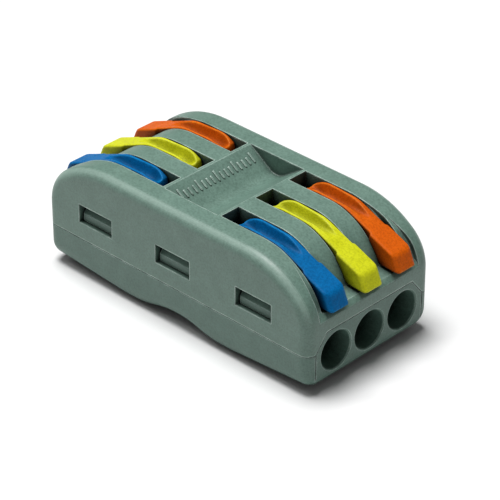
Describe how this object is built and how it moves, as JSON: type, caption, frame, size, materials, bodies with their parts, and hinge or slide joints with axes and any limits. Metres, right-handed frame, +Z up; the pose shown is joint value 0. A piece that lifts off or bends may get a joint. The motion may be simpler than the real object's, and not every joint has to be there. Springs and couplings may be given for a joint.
{
  "type": "lever wire connector",
  "caption": "Inline splicing connector: grey housing with two opposed banks of coloured levers over round wire ports, cage clamps and bus bars inside.",
  "frame": {"origin": "middle of the footprint, on the surface that the connector stands on", "axes": "+X along the wires, out of the front bank of ports; +Y across, from the blue lane to the orange lane; +Z up, out of the lever side"},
  "size_m": [0.0414, 0.0196, 0.0149],
  "materials": {
    "housing_plastic": "satin moulded",
    "base_plastic": "satin moulded",
    "lever_blue": "satin moulded",
    "lever_yellow": "satin moulded",
    "lever_orange": "satin moulded",
    "copper": "tinned copper strip",
    "spring_steel": "stainless spring strip"
  },
  "bodies": {
    "root": {"housing": "housing_plastic", "base": "base_plastic", "bus_bar_blue": "copper", "bus_bar_yellow": "copper", "bus_bar_orange": "copper"},
    "lever_blue_front": {"lever_blue_front": "lever_blue"},
    "clamp_blue_front": {"spring_blue_front": "spring_steel"},
    "lever_blue_rear": {"lever_blue_rear": "lever_blue"},
    "clamp_blue_rear": {"spring_blue_rear": "spring_steel"},
    "lever_yellow_front": {"lever_yellow_front": "lever_yellow"},
    "clamp_yellow_front": {"spring_yellow_front": "spring_steel"},
    "lever_yellow_rear": {"lever_yellow_rear": "lever_yellow"},
    "clamp_yellow_rear": {"spring_yellow_rear": "spring_steel"},
    "lever_orange_front": {"lever_orange_front": "lever_orange"},
    "clamp_orange_front": {"spring_orange_front": "spring_steel"},
    "lever_orange_rear": {"lever_orange_rear": "lever_orange"},
    "clamp_orange_rear": {"spring_orange_rear": "spring_steel"}
  },
  "joints": [
    {"name": "lever_blue_front_hinge", "type": "hinge", "parent": "root", "child": "lever_blue_front", "pos_m": [0.0086, -0.0053, 0.0109], "axis": [0, -1, 0], "range_deg": [0, 90]},
    {"name": "clamp_blue_front_flex", "type": "hinge", "parent": "root", "child": "clamp_blue_front", "pos_m": [0.0042, -0.0053, 0.0076], "axis": [0, -1, 0], "range_deg": [-18, 0], "deforming": ["spring_blue_front"]},
    {"name": "lever_blue_rear_hinge", "type": "hinge", "parent": "root", "child": "lever_blue_rear", "pos_m": [-0.0086, -0.0053, 0.0109], "axis": [0, 1, 0], "range_deg": [0, 90]},
    {"name": "clamp_blue_rear_flex", "type": "hinge", "parent": "root", "child": "clamp_blue_rear", "pos_m": [-0.0042, -0.0053, 0.0076], "axis": [0, 1, 0], "range_deg": [-18, 0], "deforming": ["spring_blue_rear"]},
    {"name": "lever_yellow_front_hinge", "type": "hinge", "parent": "root", "child": "lever_yellow_front", "pos_m": [0.0086, 0, 0.0109], "axis": [0, -1, 0], "range_deg": [0, 90]},
    {"name": "clamp_yellow_front_flex", "type": "hinge", "parent": "root", "child": "clamp_yellow_front", "pos_m": [0.0042, 0, 0.0076], "axis": [0, -1, 0], "range_deg": [-18, 0], "deforming": ["spring_yellow_front"]},
    {"name": "lever_yellow_rear_hinge", "type": "hinge", "parent": "root", "child": "lever_yellow_rear", "pos_m": [-0.0086, 0, 0.0109], "axis": [0, 1, 0], "range_deg": [0, 90]},
    {"name": "clamp_yellow_rear_flex", "type": "hinge", "parent": "root", "child": "clamp_yellow_rear", "pos_m": [-0.0042, 0, 0.0076], "axis": [0, 1, 0], "range_deg": [-18, 0], "deforming": ["spring_yellow_rear"]},
    {"name": "lever_orange_front_hinge", "type": "hinge", "parent": "root", "child": "lever_orange_front", "pos_m": [0.0086, 0.0053, 0.0109], "axis": [0, -1, 0], "range_deg": [0, 90]},
    {"name": "clamp_orange_front_flex", "type": "hinge", "parent": "root", "child": "clamp_orange_front", "pos_m": [0.0042, 0.0053, 0.0076], "axis": [0, -1, 0], "range_deg": [-18, 0], "deforming": ["spring_orange_front"]},
    {"name": "lever_orange_rear_hinge", "type": "hinge", "parent": "root", "child": "lever_orange_rear", "pos_m": [-0.0086, 0.0053, 0.0109], "axis": [0, 1, 0], "range_deg": [0, 90]},
    {"name": "clamp_orange_rear_flex", "type": "hinge", "parent": "root", "child": "clamp_orange_rear", "pos_m": [-0.0042, 0.0053, 0.0076], "axis": [0, 1, 0], "range_deg": [-18, 0], "deforming": ["spring_orange_rear"]}
  ],
  "couplings": [
    {"joint": "clamp_blue_front_flex", "follows": "lever_blue_front_hinge", "ratio": -0.2},
    {"joint": "clamp_blue_rear_flex", "follows": "lever_blue_rear_hinge", "ratio": -0.2},
    {"joint": "clamp_yellow_front_flex", "follows": "lever_yellow_front_hinge", "ratio": -0.2},
    {"joint": "clamp_yellow_rear_flex", "follows": "lever_yellow_rear_hinge", "ratio": -0.2},
    {"joint": "clamp_orange_front_flex", "follows": "lever_orange_front_hinge", "ratio": -0.2},
    {"joint": "clamp_orange_rear_flex", "follows": "lever_orange_rear_hinge", "ratio": -0.2}
  ]
}
